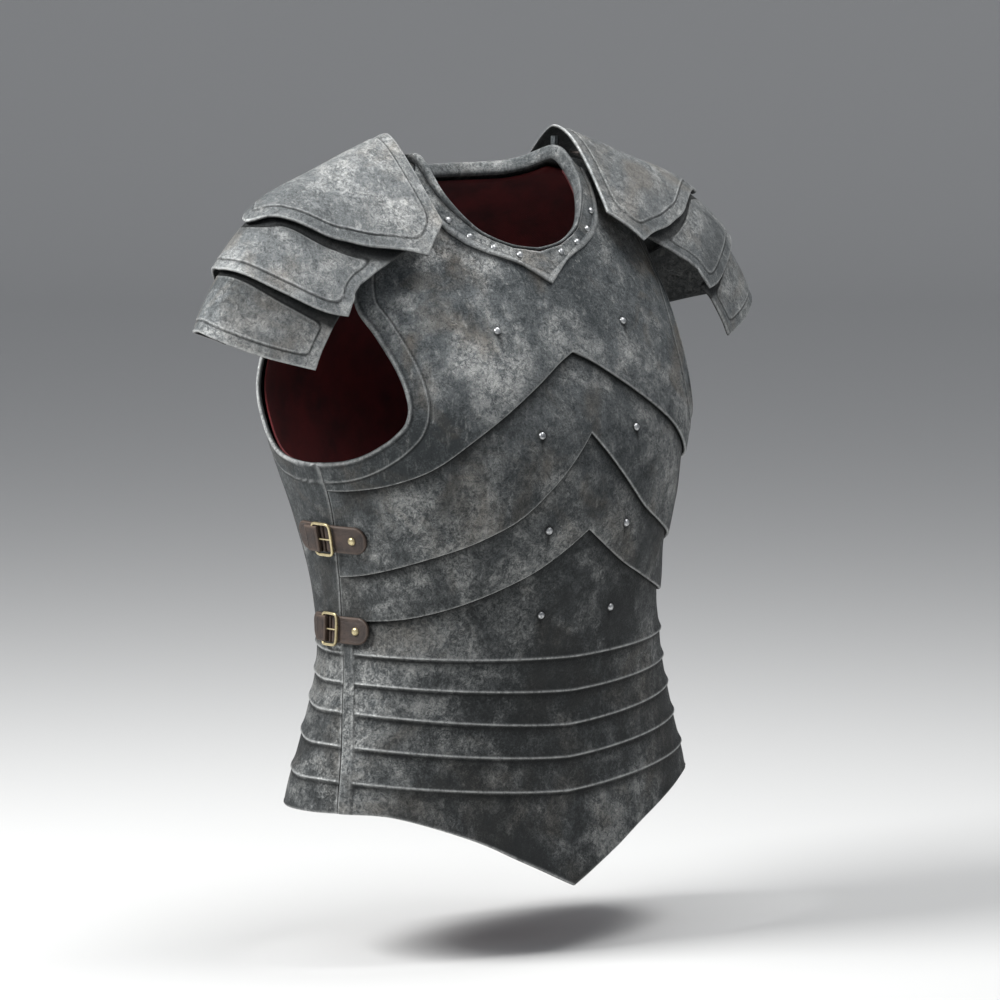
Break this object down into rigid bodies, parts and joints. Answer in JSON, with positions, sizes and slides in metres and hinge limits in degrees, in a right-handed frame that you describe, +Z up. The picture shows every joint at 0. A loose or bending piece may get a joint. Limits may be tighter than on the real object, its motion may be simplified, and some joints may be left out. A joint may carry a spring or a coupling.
{
  "type": "steel breastplate",
  "caption": "Steel cuirass with chevron breast lames, ribbed belly, back plate, riveted collar band, buckled side straps and layered shoulder guards, open at neck, arms and waist",
  "frame": {"origin": "midway between the shoulders, just above the crest where the plates rest on them", "axes": "+Z up the body, -Y to the wearer's front, +X to the wearer's left"},
  "size_m": [0.5982, 0.2885, 0.6104],
  "materials": {
    "steel": "weathered, mottled and scuffed",
    "rivet_steel": "worn bright",
    "leather": "dark, worn",
    "brass": "aged",
    "lining": "dark red cloth"
  },
  "bodies": {
    "root": {"upper_breastplate": "steel", "chevron_lame_upper": "steel", "chevron_lame_lower": "steel", "belly_plate": "steel", "back_plate": "steel", "collar_band": "steel", "neck_rim": "steel", "shoulder_top_left": "steel", "shoulder_top_right": "steel", "shoulder_middle_left": "steel", "shoulder_middle_right": "steel", "shoulder_lower_left": "steel", "shoulder_lower_right": "steel", "shoulder_post_left": "steel", "shoulder_post_right": "steel", "breast_rivet_1_left": "rivet_steel", "breast_rivet_1_right": "rivet_steel", "breast_rivet_2_left": "rivet_steel", "breast_rivet_2_right": "rivet_steel", "breast_rivet_3_left": "rivet_steel", "breast_rivet_3_right": "rivet_steel", "breast_rivet_4_left": "rivet_steel", "breast_rivet_4_right": "rivet_steel", "collar_rivet_1_left": "rivet_steel", "collar_rivet_1_right": "rivet_steel", "collar_rivet_2_left": "rivet_steel", "collar_rivet_2_right": "rivet_steel", "collar_rivet_3_left": "rivet_steel", "collar_rivet_3_right": "rivet_steel", "collar_rivet_4_left": "rivet_steel", "collar_rivet_4_right": "rivet_steel", "strap_upper_front_left": "leather", "strap_upper_front_right": "leather", "strap_upper_back_left": "leather", "strap_upper_back_right": "leather", "strap_lower_front_left": "leather", "strap_lower_front_right": "leather", "strap_lower_back_left": "leather", "strap_lower_back_right": "leather", "shoulder_hanger_left": "leather", "shoulder_hanger_right": "leather", "buckle_upper_left": "brass", "buckle_upper_right": "brass", "buckle_lower_left": "brass", "buckle_lower_right": "brass", "strap_rivet_upper_left": "brass", "strap_rivet_upper_right": "brass", "strap_rivet_lower_left": "brass", "strap_rivet_lower_right": "brass", "lining_front": "lining", "lining_back": "lining"}
  },
  "joints": []
}
